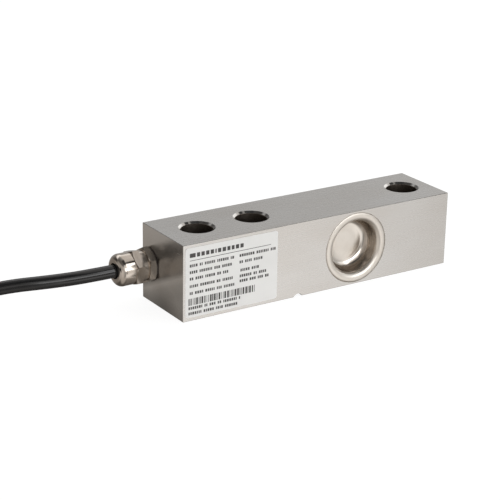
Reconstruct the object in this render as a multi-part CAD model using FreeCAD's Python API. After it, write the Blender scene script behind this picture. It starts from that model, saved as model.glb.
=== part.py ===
import FreeCAD, Part
import math
import os

V = FreeCAD.Vector
X = V(1, 0, 0)
Y = V(0, 1, 0)
Z = V(0, 0, 1)

# Shear beam load cell, in millimetres. The origin is on the underside, midway between the two
# mounting holes. +X runs along the beam to the load hole, -Y is the labelled side and +Z is up.

# Beam
beam_width = 31.8
beam_height = 31.8
edge_break = 0.3
hole_diameter = 13.0
hole_chamfer = 0.9
first_hole_from_end = 15.7
mount_pitch = 25.4
load_hole_from_mount = 76.2
load_hole_from_end = 12.7

# Gauge pockets, one in each side, with a web between them
gauge_from_mount = 41.3
web_thickness = 7.0
pocket_diameter = 27.6
weld_gap = 0.15
cross_hole_diameter = 2.4
cross_hole_above_board = 8.0

# Relief groove across the underside
groove_from_mount = 13.0
groove_cutter_diameter = 5.0
groove_depth = 1.3

# Drawn gauge cover: a cup with a rolled rim, and a wide round between its wall and its floor
cover_sheet = 0.8
cover_rim_diameter = 29.8
cover_rim_radius = 1.5
cover_mouth_radius = 2.2
cover_proud = 0.2
cup_depth = 7.9
cup_floor_radius = 3.4
round_steps = 4

# Label
label_length = 42.7
label_height = 28.9
label_thickness = 0.12
label_corner = 1.8
label_from_end = 0.9
label_from_base = 1.5

# Cable gland, beside the mounting holes so that its duct clears them
gland_offset = 10.3
gland_height = 15.9
spigot_diameter = 8.0
spigot_length = 9.0
thread_clearance = 0.02
base_ring_thickness = 0.5
base_ring_diameter = 13.8
body_across_flats = 13.4
body_hex_length = 2.8
body_hex_turn = 30.0
neck_diameter = 12.6
neck_length = 2.4
nose_diameter = 10.4
nose_length = 5.8
nose_bore = 8.6
nut_across_flats = 13.2
nut_hex_length = 3.4
nut_hex_turn = 18.0
hex_chamfer = 0.5
hex_chamfer_angle = 30.0
barrel_diameter = 13.2
barrel_length = 4.2
dome_radius = 2.7
mouth_clearance = 0.5
claw_wall = 1.2
claw_length = 3.4
claw_fingers = 8
claw_slot = 0.5
claw_slot_length = 2.6

# Cable and its cores
cable_diameter = 5.4
jacket_inside_gland = 1.6
duct_diameter = 4.0
core_colours = ("red", "black", "green", "white")
core_diameter = 0.8
core_gap = 0.05
core_turn_in = 0.8
core_landing = 1.2

# Gauges, board and fine wires on the web
gauge_length = 6.0
gauge_height = 8.0
gauge_thickness = 0.15
board_width = 3.2
board_height = 12.0
board_thickness = 0.8
board_to_gauge = 2.0
resistor_length = 2.0
resistor_height = 1.2
resistor_thickness = 0.6
resistor_spread = 3.4
fine_wire_diameter = 0.3
fine_wire_pitch = 1.3
fine_wire_spacing = 0.6
fine_wire_hop = 0.7
fine_wire_landing = 1.0

# Hank of the cable's further length, wound as a long ring of turns two wide and six high
hank_turns_wide = 2
hank_turns_high = 6
hank_fold_radius = 16.2
hank_straight = 60.0
hank_fold_x = -153.0
hank_middle_y = 8.4
tie_thickness = 0.8
tie_width = 8.0
tie_clearance = 0.02
strand_stub = 16.0
tail_lead_in = 8.0
tail_clear_run = 16.0
tail_turn = 22.0
tail_run = 12.0
tail_last_turn = 8.0

# Bare end of the cable inside the hank
sleeve_length = 6.5
sleeve_wall = 0.5
lead_diameter = 1.1
lead_ring = 1.35
lead_ring_turn = 18.0
lead_out = 9.0
lead_run = 12.0
lead_fans = {"red": 40.0, "black": 12.0, "green": -16.0, "white": -2.0, "shield": 26.0}
tip_diameter = 0.6
tip_length = 4.5

# Places worked out from the sizes
beam_length = first_hole_from_end + mount_pitch + load_hole_from_mount + load_hole_from_end
beam_start = -mount_pitch / 2 - first_hole_from_end
front_y = -beam_width / 2
mount_holes = (-mount_pitch / 2, mount_pitch / 2)
load_hole = mount_pitch / 2 + load_hole_from_mount
gauge_x = mount_pitch / 2 + gauge_from_mount
gauge_z = beam_height / 2
pocket_radius = pocket_diameter / 2
pocket_left = gauge_x - pocket_radius
web_face = web_thickness / 2
rim_radius = cover_rim_diameter / 2
rim_depth = cover_rim_radius - cover_proud
gland_point = V(beam_start, gland_offset, gland_height)
body_start = base_ring_thickness
neck_start = body_start + body_hex_length
nut_start = neck_start + neck_length
barrel_start = nut_start + nut_hex_length
nut_end = barrel_start + barrel_length + dome_radius
nose_end = nut_start + nose_length
cable_radius = cable_diameter / 2
core_radius = core_diameter / 2
core_pitch = core_diameter + core_gap
board_right = gauge_x - gauge_length / 2 - board_to_gauge
board_left = board_right - board_width
board_x = (board_left + board_right) / 2
board_z = gauge_z
board_top = web_face + board_thickness
fine_radius = fine_wire_diameter / 2
hank_width = hank_turns_wide * cable_diameter
hank_height = hank_turns_high * cable_diameter
hank_base = tie_thickness
strand_z = hank_base + cable_radius
inner_y = hank_middle_y - hank_fold_radius
outer_y = hank_middle_y + hank_fold_radius + (hank_turns_wide - 1) * cable_diameter
hank_far_x = hank_fold_x - hank_straight

# The cable's route from the gland down to the hank, and its free end inside the hank
cable_route = [
    (beam_start - jacket_inside_gland, gland_offset, gland_height),
    (-56.0, gland_offset, gland_height),
    (-71.0, 13.4, 15.6),
    (-86.0, 19.6, 14.6),
    (-100.0, 25.4, 11.6),
    (-113.0, 28.9, 7.4),
    (-125.0, outer_y, strand_z),
    (hank_fold_x + strand_stub, outer_y, strand_z),
]
bend_share = 0.45


def tube(points, diameter):
    """A round tube along straight runs joined by arcs, its arcs' radii and its path's length."""
    places = [V(*p) for p in points]
    runs = [(b - a).Length for a, b in zip(places, places[1:])]
    edges = []
    radii = []
    last = places[0]
    for k in range(1, len(places) - 1):
        before = (places[k - 1] - places[k]).normalize()
        after = (places[k + 1] - places[k]).normalize()
        half_turn = (math.pi - before.getAngle(after)) / 2
        reach = bend_share * min(runs[k - 1], runs[k])
        radius = reach / math.tan(half_turn)
        middle = (before + after).normalize()
        inset = radius * (1 / math.cos(half_turn) - 1)
        enter = places[k] + before * reach
        leave = places[k] + after * reach
        edges.append(Part.LineSegment(last, enter).toShape())
        edges.append(Part.Arc(enter, places[k] + middle * inset, leave).toShape())
        radii.append(radius)
        last = leave
    edges.append(Part.LineSegment(last, places[-1]).toShape())
    path = Part.Wire(edges)
    ring = Part.Wire(Part.makeCircle(diameter / 2, places[0], places[1] - places[0]))
    return path.makePipeShell([ring], True, False), radii, path.Length


def kinked_wire(points, diameter):
    """A thin stiff wire, bent sharply at each of its points."""
    ring = Part.Wire(Part.makeCircle(diameter / 2, points[0], points[1] - points[0]))
    right_corners = 1
    return Part.Wire(Part.makePolygon(points)).makePipeShell([ring], True, False, right_corners)


def cable_piece(points):
    """A length of the cable, with its bends, and its volume beside its section times its length."""
    solid, radii, length = tube(points, cable_diameter)
    product = math.pi * cable_radius**2 * length
    print("bend radii", [round(r, 1) for r in radii], "length", round(length, 1))
    print("volume", round(solid.Volume, 1), "section times length", round(product, 1))
    return solid


def edges_along(solid, axis):
    """The straight edges of a block that run along an axis."""
    return [e for e in solid.Edges if round(abs(e.tangentAt(e.FirstParameter).dot(axis))) == 1]


def quarter_round(across, along, radius, first_angle):
    """Points of a quarter circle about a centre in a section, anticlockwise in even steps."""
    angles = [math.radians(first_angle + 90 * k / round_steps) for k in range(round_steps + 1)]
    return [V(across + radius * math.cos(a), along + radius * math.sin(a), 0) for a in angles]


def hexagon(across_flats, length, station, turn):
    """A hexagon bar on the gland's axis, from a station outwards, with both ends chamfered."""
    sides = 6
    corner = across_flats / 2 / math.cos(math.pi / sides)
    points = []
    for k in range(sides + 1):
        angle = math.radians(turn + 360 * k / sides)
        points.append(V(0, -corner * math.cos(angle), corner * math.sin(angle)))
    bar = Part.Face(Part.makePolygon(points)).extrude(V(-length, 0, 0))
    slope = hex_chamfer / math.tan(math.radians(hex_chamfer_angle))
    profile = [
        V(0, 0, 0),
        V(0, corner - slope, 0),
        V(-hex_chamfer, corner, 0),
        V(-length + hex_chamfer, corner, 0),
        V(-length, corner - slope, 0),
        V(-length, 0, 0),
        V(0, 0, 0),
    ]
    turned = Part.Face(Part.makePolygon(profile)).revolve(V(0, 0, 0), X, 360)
    bar = bar.common(turned)
    bar.translate(gland_point - X * station)
    return bar


def rod(diameter, start, end):
    """A round bar on the gland's axis between two stations outside the beam's end face."""
    return Part.makeCylinder(diameter / 2, end - start, gland_point - X * start, X * -1)


def through_hole(x):
    """A bolt hole down through the beam, chamfered at both faces."""
    r = hole_diameter / 2
    bore = Part.makeCylinder(r, beam_height, V(x, 0, 0))
    wide = r + hole_chamfer
    low = Part.makeCone(wide, r, hole_chamfer, V(x, 0, 0))
    high = Part.makeCone(r, wide, hole_chamfer, V(x, 0, beam_height - hole_chamfer))
    return bore.fuse([low, high])


def gauge_pocket(side):
    """The blind pocket in one side, with the seat that the cover's rim stands on."""
    mouth = V(gauge_x, side * beam_width / 2, gauge_z)
    inwards = Y * -side
    depth = beam_width / 2 - web_face
    pocket = Part.makeCylinder(pocket_radius, depth, mouth, inwards)
    seat = Part.makeCylinder(rim_radius + weld_gap, rim_depth, mouth, inwards)
    return pocket.fuse(seat)


def wire_ways():
    """The tapped hole for the gland, the duct to the rear pocket and the hole through the web."""
    tapped = rod(spigot_diameter + 2 * thread_clearance, -spigot_length, 0)
    duct = rod(duct_diameter, beam_start - gauge_x, 0)
    place = V(board_x, -web_face, board_z + cross_hole_above_board)
    cross = Part.makeCylinder(cross_hole_diameter / 2, web_thickness, place, Y)
    return [tapped, duct, cross]


def load_beam():
    corner = V(beam_start, front_y, 0)
    block = Part.makeBox(beam_length, beam_width, beam_height, corner)
    block = block.makeChamfer(edge_break, block.Edges)
    groove_x = mount_pitch / 2 + groove_from_mount
    groove_z = groove_depth - groove_cutter_diameter / 2
    cutter = groove_cutter_diameter / 2
    groove = Part.makeCylinder(cutter, beam_width, V(groove_x, front_y, groove_z), Y)
    cuts = [through_hole(x) for x in (*mount_holes, load_hole)]
    cuts += [gauge_pocket(-1), gauge_pocket(1), groove, *wire_ways()]
    return block.cut(cuts)


def gauge_cover(side):
    """The cup, turned from its sheet's section: radius outwards, then depth into the pocket."""
    crown = rim_radius - cover_rim_radius
    wall = crown - cover_mouth_radius
    mouth_depth = cover_mouth_radius - cover_proud
    floor_edge = wall - cup_floor_radius
    corner_depth = cup_depth - cup_floor_radius
    back = wall + cover_sheet
    back_depth = cup_depth + cover_sheet
    back_slant = (cup_floor_radius + cover_sheet) * math.sqrt(0.5)
    outside = [
        V(0, cup_depth, 0),
        *reversed(quarter_round(floor_edge, corner_depth, cup_floor_radius, 0)),
        *quarter_round(crown, mouth_depth, cover_mouth_radius, 180),
        *quarter_round(crown, rim_depth, cover_rim_radius, 270)[1:],
    ]
    pocket_side = [
        V(rim_radius - cover_sheet, rim_depth, 0),
        V(crown, cover_sheet - cover_proud, 0),
        V(back, mouth_depth, 0),
        V(back, corner_depth, 0),
        V(floor_edge + back_slant, corner_depth + back_slant, 0),
        V(floor_edge, back_depth, 0),
        V(0, back_depth, 0),
        V(0, cup_depth, 0),
    ]
    cup = Part.Face(Part.makePolygon(outside + pocket_side)).revolve(V(0, 0, 0), Y, 360)
    if side > 0:
        cup.rotate(V(0, 0, 0), X, 180)
    cup.translate(V(gauge_x, side * beam_width / 2, gauge_z))
    return cup


def nameplate_label():
    corner = V(beam_start + label_from_end, front_y - label_thickness, label_from_base)
    plate = Part.makeBox(label_length, label_thickness, label_height, corner)
    return plate.makeFillet(label_corner, edges_along(plate, Y))


def gland_base_ring():
    return rod(base_ring_diameter, 0, base_ring_thickness).cut(
        rod(spigot_diameter, 0, base_ring_thickness)
    )


def gland_body():
    spigot = rod(spigot_diameter, -spigot_length, body_start)
    flats = hexagon(body_across_flats, body_hex_length, body_start, body_hex_turn)
    neck = rod(neck_diameter, neck_start, nut_start)
    nose = rod(nose_diameter, nut_start, nose_end)
    body = spigot.fuse([flats, neck, nose])
    cores_way = rod(duct_diameter, -spigot_length, jacket_inside_gland)
    cable_way = rod(cable_diameter, jacket_inside_gland, nut_start)
    seal_way = rod(nose_bore, nut_start, nose_end)
    return body.cut([cores_way, cable_way, seal_way]).removeSplitter()


def gland_seal():
    sleeve = rod(nose_bore, nut_start, nose_end)
    return sleeve.cut(rod(cable_diameter, nut_start, nose_end))


def gland_claw():
    """The ring of clamping fingers between the seal and the cap nut's dome."""
    start = nose_end
    end = start + claw_length
    ring = rod(cable_diameter + 2 * claw_wall, start, end).cut(rod(cable_diameter, start, end))
    slots = []
    for k in range(claw_fingers):
        slot = Part.makeBox(claw_slot_length, cable_diameter, claw_slot)
        slot.translate(V(0, 0, -claw_slot / 2))
        slot.rotate(V(0, 0, 0), X, 360 / claw_fingers * k)
        slot.translate(gland_point - X * end)
        slots.append(slot)
    return ring.cut(slots)


def gland_cap_nut():
    flats = hexagon(nut_across_flats, nut_hex_length, nut_start, nut_hex_turn)
    barrel_radius = barrel_diameter / 2
    dome_start = nut_end - dome_radius
    outline = [
        V(0, barrel_start, 0),
        V(barrel_radius, barrel_start, 0),
        *quarter_round(barrel_radius - dome_radius, dome_start, dome_radius, 0),
        V(0, nut_end, 0),
        V(0, barrel_start, 0),
    ]
    barrel = Part.Face(Part.makePolygon(outline)).revolve(V(0, 0, 0), Y, 360)
    barrel.rotate(V(0, 0, 0), Z, 90)
    barrel.translate(gland_point)
    thread = rod(nose_diameter + 2 * thread_clearance, nut_start, nose_end)
    claw_room = rod(cable_diameter + 2 * claw_wall, nose_end, nose_end + claw_length)
    mouth = rod(cable_diameter + 2 * mouth_clearance, nose_end, nut_end)
    return flats.fuse(barrel).cut([thread, claw_room, mouth]).removeSplitter()


def core_wire(index):
    """One core from the jacket's end, along the duct, down the pocket's wall and onto the board."""
    row = (index - (len(core_colours) - 1) / 2) * core_pitch
    land_y = board_top + core_radius
    points = [
        V(beam_start - jacket_inside_gland, gland_offset, gland_height + row),
        V(pocket_left + core_turn_in, gland_offset, gland_height + row),
        V(pocket_left + core_turn_in, land_y, board_z + row),
        V(board_left + core_landing, land_y, board_z + row),
    ]
    return kinked_wire(points, core_diameter)


def strain_gauge(side):
    low_y = web_face if side > 0 else -web_face - gauge_thickness
    corner = V(gauge_x - gauge_length / 2, low_y, gauge_z - gauge_height / 2)
    return Part.makeBox(gauge_length, gauge_thickness, gauge_height, corner)


def terminal_board():
    corner = V(board_left, web_face, board_z - board_height / 2)
    return Part.makeBox(board_width, board_thickness, board_height, corner)


def compensation_resistors():
    chips = []
    for row in (-resistor_spread, resistor_spread):
        low = board_z + row - resistor_height / 2
        corner = V(board_x - resistor_length / 2, board_top, low)
        chips.append(Part.makeBox(resistor_length, resistor_thickness, resistor_height, corner))
    return Part.makeCompound(chips)


def bridge_wires_rear():
    """Fine wires that hop from the board to the rear gauge."""
    wires = []
    for k in (-1, 0, 1):
        row = k * fine_wire_pitch
        lift = board_top + fine_wire_hop
        pad = V(board_right - fine_wire_landing, board_top + fine_radius, board_z + row)
        tab_x = gauge_x - gauge_length / 2 + fine_wire_landing
        tab = V(tab_x, web_face + gauge_thickness + fine_radius, gauge_z + row)
        top = V((pad.x + tab.x) / 2, lift, (pad.z + tab.z) / 2)
        wires.append(kinked_wire([pad, top, tab], fine_wire_diameter))
    return Part.makeCompound(wires)


def bridge_wires_front():
    """Fine wires from the front gauge, through the web's hole and onto the board."""
    wires = []
    front = -web_face - gauge_thickness - fine_radius
    hole_z = board_z + cross_hole_above_board
    lift = fine_wire_hop + fine_radius
    for k in (-1, 0, 1):
        x = board_x + k * fine_wire_spacing
        tab_x = gauge_x - gauge_length / 2 + fine_wire_landing
        points = [
            V(tab_x, front, gauge_z + k * fine_wire_pitch),
            V(x, front - lift, hole_z),
            V(x, board_top + lift, hole_z),
            V(x, board_top + fine_radius, board_z + board_height / 2 - fine_wire_landing),
        ]
        wires.append(kinked_wire(points, fine_wire_diameter))
    return Part.makeCompound(wires)


def bundle_section(grow):
    """The hank's bundle of strands cut across its run, with its corner strands bevelled off."""
    wide = hank_width / 2 + grow
    high = hank_height / 2 + grow
    bevel = (cable_radius + grow) * (2 - math.sqrt(2))
    points = []
    for side_y, side_z, along_y in ((1, 1, False), (-1, 1, True), (-1, -1, False), (1, -1, True)):
        ends = [V(0, wide, high - bevel), V(0, wide - bevel, high)]
        if along_y:
            ends.reverse()
        points += [V(0, side_y * p.y, side_z * p.z) for p in ends]
    return Part.Face(Part.makePolygon([*points, points[0]]))


def bundle_middle(side):
    spread = hank_fold_radius + (hank_width - cable_diameter) / 2
    return V(0, hank_middle_y + side * spread, hank_base + hank_height / 2)


def cable_hank():
    """The turns' outer form: two straight bundles, two folds, and the strands in and out."""
    pieces = []
    for side in (-1, 1):
        section = bundle_section(0)
        section.translate(bundle_middle(side) + X * hank_far_x)
        pieces.append(section.extrude(X * hank_straight))
        fold_x = hank_far_x if side < 0 else hank_fold_x
        section.translate(X * (fold_x - hank_far_x))
        pieces.append(section.revolve(V(fold_x, hank_middle_y, 0), Z * -1, 180))
    entry = Part.makeCylinder(cable_radius, strand_stub, V(hank_fold_x, outer_y, strand_z), X)
    leaving = cable_piece(tail_route()[:3])
    return pieces[0].fuse([*pieces[1:], entry, leaving]).removeSplitter()


def hank_tie(side):
    """A strap round one bundle, midway along its run."""
    band = bundle_section(tie_thickness).extrude(X * tie_width)
    band = band.cut(bundle_section(tie_clearance).extrude(X * tie_width))
    band.translate(bundle_middle(side) + X * ((hank_far_x + hank_fold_x - tie_width) / 2))
    return band


def heading(angle):
    """A level direction, turned from +X towards +Y."""
    return V(math.cos(math.radians(angle)), math.sin(math.radians(angle)), 0)


def tail_route():
    """The free end's points: out of the inner strand at an angle, then nearly straight on."""
    fold = V(hank_far_x, inner_y, strand_z)
    bend = fold + X * tail_lead_in
    clear = bend + heading(tail_turn) * tail_clear_run
    last_bend = clear + heading(tail_turn) * tail_run
    end = last_bend + heading(tail_last_turn) * tail_run
    return [fold - X * tail_lead_in, bend, clear, last_bend, end]


def tail_end():
    """The free end's last point and the direction that it points in."""
    return tail_route()[-1], heading(tail_last_turn)


def cable_end_sleeve():
    end, along = tail_end()
    start = end - along * sleeve_length
    sleeve = Part.makeCylinder(cable_radius + sleeve_wall, sleeve_length, start, along)
    return sleeve.cut(Part.makeCylinder(cable_radius, sleeve_length, start, along))


def lead_path(index, fan):
    """A flying lead's points, out of the jacket and then fanned out and down, and its tip's end."""
    end, along = tail_end()
    across = Z.cross(along).normalize()
    angle = math.radians(lead_ring_turn + 360 * index / len(lead_fans))
    start = end + (across * math.cos(angle) + Z * math.sin(angle)) * lead_ring
    bend = start + along * lead_out
    tip_end = V(bend.x, bend.y, lead_diameter / 2) + heading(fan) * (lead_run + tip_length)
    jacket_end = tip_end + (bend - tip_end).normalize() * tip_length
    return [start, bend, jacket_end], tip_end


def flying_lead(index, fan):
    points, _ = lead_path(index, fan)
    return tube(points, lead_diameter)[0]


def lead_tips():
    tips = []
    for index, fan in enumerate(lead_fans.values()):
        points, tip_end = lead_path(index, fan)
        along = tip_end - points[-1]
        tips.append(Part.makeCylinder(tip_diameter / 2, tip_length, points[-1], along))
    return Part.makeCompound(tips)


def build():
    nodes = {
        "load_beam": load_beam(),
        "gauge_cover_front": gauge_cover(-1),
        "gauge_cover_rear": gauge_cover(1),
        "strain_gauge_front": strain_gauge(-1),
        "strain_gauge_rear": strain_gauge(1),
        "terminal_board": terminal_board(),
        "compensation_resistors": compensation_resistors(),
        "bridge_wires_front": bridge_wires_front(),
        "bridge_wires_rear": bridge_wires_rear(),
        "nameplate_label": nameplate_label(),
        "gland_base_ring": gland_base_ring(),
        "gland_body": gland_body(),
        "gland_seal": gland_seal(),
        "gland_claw": gland_claw(),
        "gland_cap_nut": gland_cap_nut(),
        "signal_cable": cable_piece(cable_route),
        "cable_hank": cable_hank(),
        "hank_tie_left": hank_tie(-1),
        "hank_tie_right": hank_tie(1),
        "cable_tail": cable_piece(tail_route()[2:]),
        "cable_end_sleeve": cable_end_sleeve(),
        "lead_tips": lead_tips(),
    }
    for index, colour in enumerate(core_colours):
        nodes["core_" + colour] = core_wire(index)
    for index, (colour, fan) in enumerate(lead_fans.items()):
        nodes["lead_" + colour] = flying_lead(index, fan)
    return nodes


os.makedirs("parts", exist_ok=True)
for name, shape in build().items():
    shape.exportStep("parts/" + name + ".step")
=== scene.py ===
import bpy
import math
import random
from types import SimpleNamespace
from mathutils import Matrix, Vector


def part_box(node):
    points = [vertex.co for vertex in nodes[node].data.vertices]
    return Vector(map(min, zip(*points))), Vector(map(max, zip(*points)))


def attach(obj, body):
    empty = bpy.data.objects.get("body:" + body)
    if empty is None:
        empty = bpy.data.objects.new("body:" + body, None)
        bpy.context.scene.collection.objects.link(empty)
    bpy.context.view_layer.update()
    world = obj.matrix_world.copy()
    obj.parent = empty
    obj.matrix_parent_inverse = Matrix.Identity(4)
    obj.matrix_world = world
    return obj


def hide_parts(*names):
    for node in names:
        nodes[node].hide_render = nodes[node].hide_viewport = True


# Shear beam load cell: the looks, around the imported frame. Lengths are in metres.
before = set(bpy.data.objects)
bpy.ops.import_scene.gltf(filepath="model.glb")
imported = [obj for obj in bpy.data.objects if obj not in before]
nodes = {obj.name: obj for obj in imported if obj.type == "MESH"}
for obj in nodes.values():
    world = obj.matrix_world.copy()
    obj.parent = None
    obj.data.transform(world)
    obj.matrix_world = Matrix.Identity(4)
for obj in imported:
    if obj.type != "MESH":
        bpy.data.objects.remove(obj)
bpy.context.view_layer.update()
MM = 0.001

# Sizes that repeat the part's own
edge_round = 0.35 * MM
hole_radius = 6.5 * MM
hole_chamfer = 0.9 * MM
hole_stations = (-12.7 * MM, 12.7 * MM, 88.9 * MM)
pocket_radius = 13.8 * MM
seat_radius = 15.05 * MM
web_face = 3.5 * MM
groove_x = 25.7 * MM
groove_radius = 2.5 * MM
groove_depth = 1.3 * MM
cross_hole = Vector((47.4, 0.0, 23.9)) * MM
cross_hole_radius = 1.2 * MM
cover_sheet = 0.8 * MM
cover_rim = 1.5 * MM
cover_mouth = 2.2 * MM
cover_proud = 0.2 * MM
cup_depth = 7.9 * MM
cup_floor_round = 3.4 * MM
gland_offset = 10.3 * MM
gland_height = 15.9 * MM
spigot_radius = 4.0 * MM
spigot_length = 9.0 * MM
duct_radius = 2.0 * MM
base_ring_radius = 6.9 * MM
hex_chamfer = 0.5 * MM
hex_chamfer_angle = math.radians(30)
body_flats = 13.4 * MM
body_turn = math.radians(30)
neck_radius = 6.3 * MM
nose_radius = 5.2 * MM
seal_radius = 4.3 * MM
nut_flats = 13.2 * MM
nut_turn = math.radians(18)
barrel_radius = 6.6 * MM
dome_round = 2.7 * MM
claw_radius = 3.9 * MM
mouth_radius = 3.2 * MM
thread_play = 0.02 * MM
body_station = 0.5 * MM
neck_station = 3.3 * MM
nut_station = 5.7 * MM
barrel_station = 9.1 * MM
nose_end = 11.5 * MM
claw_end = 14.9 * MM
nut_end = 16.0 * MM
jacket_station = 1.6 * MM
cable_diameter = 5.4 * MM
hank_layers = 6
hank_inner = 16.2 * MM
hank_outer = hank_inner + cable_diameter
hank_near_x = -153.0 * MM
hank_far_x = -213.0 * MM
hank_middle_y = 8.4 * MM
strand_z = 3.5 * MM
fold_points = 6
tail_heading = math.radians(8)
sleeve_length = 6.5 * MM
sleeve_wall = 0.5 * MM
lead_diameter = 1.1 * MM
lead_ring = 1.35 * MM
lead_ring_turn = math.radians(18)
lead_out = 9.0 * MM
lead_run = 12.0 * MM
lead_fans = {"red": 40, "black": 12, "green": -16, "white": -2, "shield": 26}
tip_radius = 0.3 * MM
tip_length = 4.5 * MM
strap_wall = 0.8 * MM

# How far a cutter reaches past the face that it cuts
cut_over = 1.0 * MM

# Places read from the frame
beam_low, beam_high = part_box("load_beam")
cover_low, cover_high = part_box("gauge_cover_front")
label_low, label_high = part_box("nameplate_label")
beam_middle = (beam_low + beam_high) / 2
beam_size = beam_high - beam_low
gauge_x = (cover_low.x + cover_high.x) / 2
gauge_z = (cover_low.z + cover_high.z) / 2
rim_radius = (cover_high.x - cover_low.x) / 2
gland_point = Vector((beam_low.x, gland_offset, gland_height))
gland_axis = Vector((-1, 0, 0))

# The cable's route from the gland to the hank, and its free end inside the hank
cable_route = [
    Vector(point) * MM
    for point in [
        (-30.0, 10.3, 15.9),
        (-56.0, 10.3, 15.9),
        (-71.0, 13.4, 15.6),
        (-86.0, 19.6, 14.6),
        (-100.0, 25.4, 11.6),
        (-113.0, 28.9, 7.4),
        (-125.0, 30.0, 3.5),
        (-137.0, 30.0, 3.5),
    ]
]
tail_route = [
    Vector(point) * MM
    for point in [(-205.0, -7.8, 3.5), (-190.2, -1.8, 3.5), (-179.0, 2.7, 3.5), (-167.2, 4.4, 3.5)]
]


# Modelling helpers


def only(piece):
    """Selects one object and makes it the active one."""
    bpy.ops.object.select_all(action="DESELECT")
    piece.select_set(True)
    bpy.context.view_layer.objects.active = piece


def settle(piece):
    """Moves a piece's place, turn and scale from its object into its mesh."""
    only(piece)
    bpy.ops.object.transform_apply(location=True, rotation=True, scale=True)
    return piece


def box(name, middle, size):
    """A plain box."""
    bpy.ops.mesh.primitive_cube_add(size=1, location=middle, scale=size)
    piece = bpy.context.object
    piece.name = name
    return settle(piece)


def empty_mesh(name):
    """A piece with nothing in it yet, open for editing."""
    bpy.ops.mesh.primitive_plane_add(size=1)
    piece = bpy.context.object
    piece.name = name
    bpy.ops.object.mode_set(mode="EDIT")
    bpy.ops.mesh.delete(type="VERT")
    return piece


def quarter(centre_r, centre_h, radius, first, last, steps):
    """Rings of a round from one angle to another, in a section of radius and height."""
    angles = [math.radians(first + (last - first) * k / steps) for k in range(steps + 1)]
    return [(centre_r + radius * math.cos(a), centre_h + radius * math.sin(a)) for a in angles]


def close_edit():
    """Turns all faces of the piece that is being edited outwards, and ends the editing."""
    bpy.ops.mesh.select_all(action="SELECT")
    bpy.ops.mesh.normals_make_consistent(inside=False)
    bpy.ops.object.mode_set(mode="OBJECT")


def turned(name, rings, segments=96):
    """A form turned about Z, grown ring by ring; a ring of no radius closes it at the middle."""
    point = 1e-6
    merge = 4e-6
    bpy.ops.mesh.primitive_circle_add(vertices=segments, radius=max(rings[0][0], point))
    piece = bpy.context.object
    piece.name = name
    bpy.ops.object.mode_set(mode="EDIT")
    bpy.ops.mesh.select_all(action="SELECT")
    bpy.ops.transform.translate(value=(0, 0, rings[0][1]))
    for (r0, h0), (r1, h1) in zip(rings, rings[1:]):
        grow = max(r1, point) / max(r0, point)
        bpy.ops.mesh.extrude_region_move(TRANSFORM_OT_translate={"value": (0, 0, h1 - h0)})
        bpy.ops.transform.resize(value=(grow, grow, 1), center_override=(0, 0, h1))
    bpy.ops.mesh.select_all(action="SELECT")
    bpy.ops.mesh.remove_doubles(threshold=merge)
    close_edit()
    return piece


def stand(piece, along, at):
    """Lays a form that was made about Z along another axis, at a place, with its object unmoved."""
    turn = Vector((0, 0, 1)).rotation_difference(along).to_matrix().to_4x4()
    piece.matrix_world = Matrix.Translation(at) @ turn @ piece.matrix_world
    return settle(piece)


def closed(rings):
    """Rings of a solid form: closed at its middle line at both ends."""
    return [(0, rings[0][1]), *rings, (0, rings[-1][1])]


def combine(piece, tool, operation):
    """Adds, cuts or intersects a second form, which is used up."""
    only(piece)
    change = piece.modifiers.new("combine", "BOOLEAN")
    change.operation = operation
    change.solver = "EXACT"
    change.object = tool
    bpy.ops.object.modifier_apply(modifier=change.name)
    bpy.data.objects.remove(tool)
    return piece


def cut(piece, rings, along, at, segments):
    """Cuts away a solid form that is turned about an axis."""
    return combine(piece, stand(turned("cutter", closed(rings), segments), along, at), "DIFFERENCE")


def smooth(piece, angle=30):
    """Smooth shading between flat faces that stay flat."""
    only(piece)
    bpy.ops.object.shade_smooth_by_angle(angle=math.radians(angle))
    even = piece.modifiers.new("even", "WEIGHTED_NORMAL")
    even.keep_sharp = True
    bpy.ops.object.modifier_apply(modifier=even.name)
    return piece


def fit(piece, material, slot, *stands_for):
    """Gives a finished piece its material, its body and the nodes that it stands for."""
    piece.data.materials.clear()
    piece.data.materials.append(material)
    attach(piece, "root")
    if stands_for:
        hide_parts(*stands_for)
    return piece


# Material helpers


def new_finish(name, colour, metallic, roughness):
    """A new material and its shader, with an even colour, metal share and roughness to start from."""
    material = bpy.data.materials.new(name)
    material.use_nodes = True
    tree = material.node_tree
    shader = tree.nodes["Principled BSDF"]
    shader.inputs["Base Color"].default_value = (*colour, 1)
    shader.inputs["Metallic"].default_value = metallic
    shader.inputs["Roughness"].default_value = roughness
    return material, tree, shader


def link(source, target):
    """Joins one node's output to another's input."""
    source.id_data.links.new(source, target)


def worked_out(kind, operation, *values):
    """A math node in the tree of its first value; the others may be outputs or plain values."""
    result = values[0].id_data.nodes.new(kind)
    result.operation = operation
    for target, value in zip(result.inputs, values):
        if isinstance(value, bpy.types.NodeSocket):
            link(value, target)
        else:
            target.default_value = value
    return result


def object_point(tree, scale, centre=(0, 0, 0)):
    """Object coordinates, moved to a centre and scaled along each axis."""
    coordinates = tree.nodes.new("ShaderNodeTexCoord")
    mapping = tree.nodes.new("ShaderNodeMapping")
    mapping.vector_type = "POINT"
    mapping.inputs["Location"].default_value = [-c * s for c, s in zip(centre, scale)]
    mapping.inputs["Scale"].default_value = scale
    link(coordinates.outputs["Object"], mapping.inputs["Vector"])
    return mapping.outputs["Vector"]


def noise(tree, scale, detail=2.0):
    """Noise whose grains are 1/scale metres long along each axis."""
    texture = tree.nodes.new("ShaderNodeTexNoise")
    texture.inputs["Scale"].default_value = 1.0
    texture.inputs["Detail"].default_value = detail
    link(object_point(tree, scale), texture.inputs["Vector"])
    return texture.outputs["Fac"]


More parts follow.
